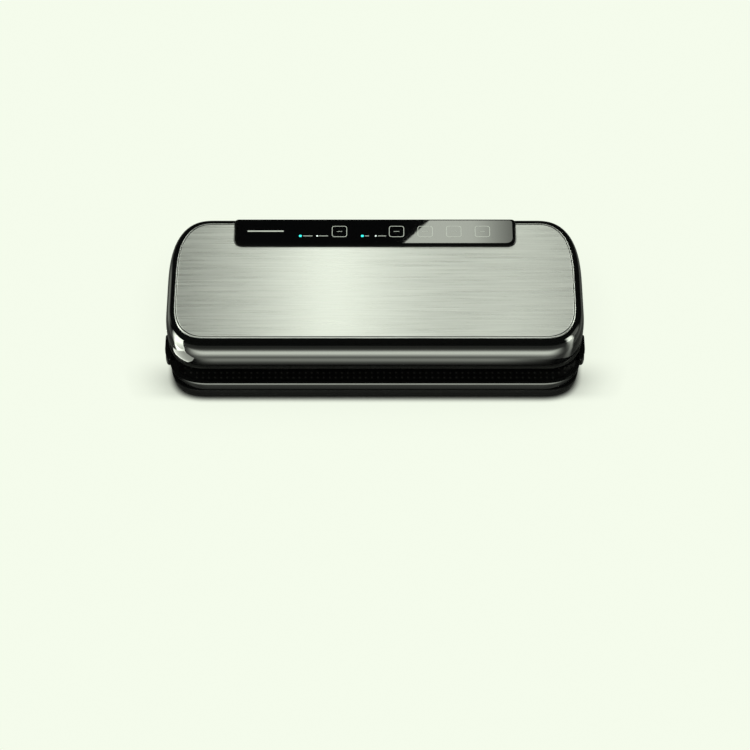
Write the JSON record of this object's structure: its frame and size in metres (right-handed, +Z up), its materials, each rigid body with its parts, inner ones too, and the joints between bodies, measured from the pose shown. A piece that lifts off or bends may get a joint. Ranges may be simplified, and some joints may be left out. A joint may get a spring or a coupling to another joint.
{
  "type": "vacuum sealer",
  "caption": "Countertop vacuum sealer: long black base and glossy hinged lid with brushed steel top, raised glass touch panel and release buttons at the sides.",
  "frame": {"origin": "middle of the footprint, on the surface that the feet stand on", "axes": "+X to the right along the lid's width, -Y to the front where the bag goes in, +Z up"},
  "size_m": [0.386, 0.168, 0.0656],
  "materials": {
    "black_gloss": "piano-black gloss, moulded",
    "black_satin": "fine satin texture",
    "grip_rubber": "soft matt with raised dots",
    "rubber": "matt",
    "steel_plate": "long brush marks along X, polished edge",
    "steel": "bright zinc plated",
    "foam": "closed-cell foam",
    "bar": "phenolic bar, satin",
    "wire_alloy": "flat resistance ribbon",
    "ptfe": "brown PTFE coated glass cloth",
    "silicone": "soft grey silicone",
    "motor_steel": "drawn can",
    "zinc": "plated sheet",
    "white_plastic": "natural acetal",
    "cup": "matt",
    "valve": "satin",
    "tube": "translucent silicone tube",
    "lamination": "varnished laminations",
    "winding": "wound wire under tape",
    "board": "solder mask",
    "parts": "moulded component bodies",
    "lead": "PVC insulation",
    "black_lead": "PVC sleeve",
    "glass": "black printed behind, polished",
    "lamp": "clear lamp body",
    "ink": "printed line",
    "natural": "natural acetal",
    "magnet": "sintered"
  },
  "bodies": {
    "base": {"bottom_cover": "black_satin", "base_deck": "black_gloss", "grip_strip": "grip_rubber", "rubber_feet": "rubber", "base_screws": "steel", "vacuum_tray": "black_gloss", "lower_gasket": "foam", "heater_bar": "bar", "heating_wire": "wire_alloy", "ptfe_tape": "ptfe", "pump_housing": "black_satin", "housing_screws": "steel", "hinge_pins": "steel", "button_spring_left": "steel", "button_spring_right": "steel", "pump_motor": "motor_steel", "pump_bracket": "zinc", "pump_cylinder": "white_plastic", "pump_cap": "white_plastic", "pump_screws": "steel", "solenoid_valve": "valve", "air_nozzle": "natural", "air_tubes": "tube", "transformer_core": "lamination", "transformer_coil": "winding", "power_board": "board", "board_components": "parts", "lid_sensor": "board", "mains_inlet": "black_satin", "inlet_pins": "steel", "wiring": "lead", "panel_lead": "black_lead"},
    "lid": {"lid_shell": "black_gloss", "lid_frame": "black_satin", "top_plate": "steel_plate", "panel_bezel": "black_gloss", "panel_glass": "glass", "touch_board": "board", "indicator_lamps": "lamp", "touch_marks": "ink", "upper_gasket": "foam", "pressure_strip": "silicone", "lid_hook_left": "natural", "lid_hook_right": "natural", "lid_screws": "steel", "lid_magnet": "magnet"},
    "left_button": {"release_button_left": "black_gloss"},
    "right_button": {"release_button_right": "black_gloss"},
    "crank": {"pump_crank": "steel"},
    "piston": {"pump_rod": "white_plastic", "piston_cup": "cup"}
  },
  "joints": [
    {"name": "lid_hinge", "type": "hinge", "parent": "base", "child": "lid", "pos_m": [0, 0.0795, 0.0285], "axis": [-1, 0, 0], "range_deg": [0, 80], "deforming": ["panel_lead"]},
    {"name": "left_button_press", "type": "slide", "parent": "base", "child": "left_button", "axis": [1, 0, 0], "range_m": [0, 0.003], "stiffness_N_per_m": 900, "deforming": ["button_spring_left"]},
    {"name": "right_button_press", "type": "slide", "parent": "base", "child": "right_button", "axis": [-1, 0, 0], "range_m": [0, 0.003], "stiffness_N_per_m": 900, "deforming": ["button_spring_right"]},
    {"name": "pump_crank_spin", "type": "hinge", "parent": "base", "child": "crank", "pos_m": [-0.014, 0.028, 0.025], "axis": [1, 0, 0], "continuous": true},
    {"name": "pump_rod_turn", "type": "hinge", "parent": "crank", "child": "piston", "pos_m": [-0.0045, 0.03, 0.025], "axis": [1, 0, 0], "continuous": true}
  ],
  "couplings": [
    {"joint": "pump_rod_turn", "follows": "pump_crank_spin", "ratio": -1}
  ]
}
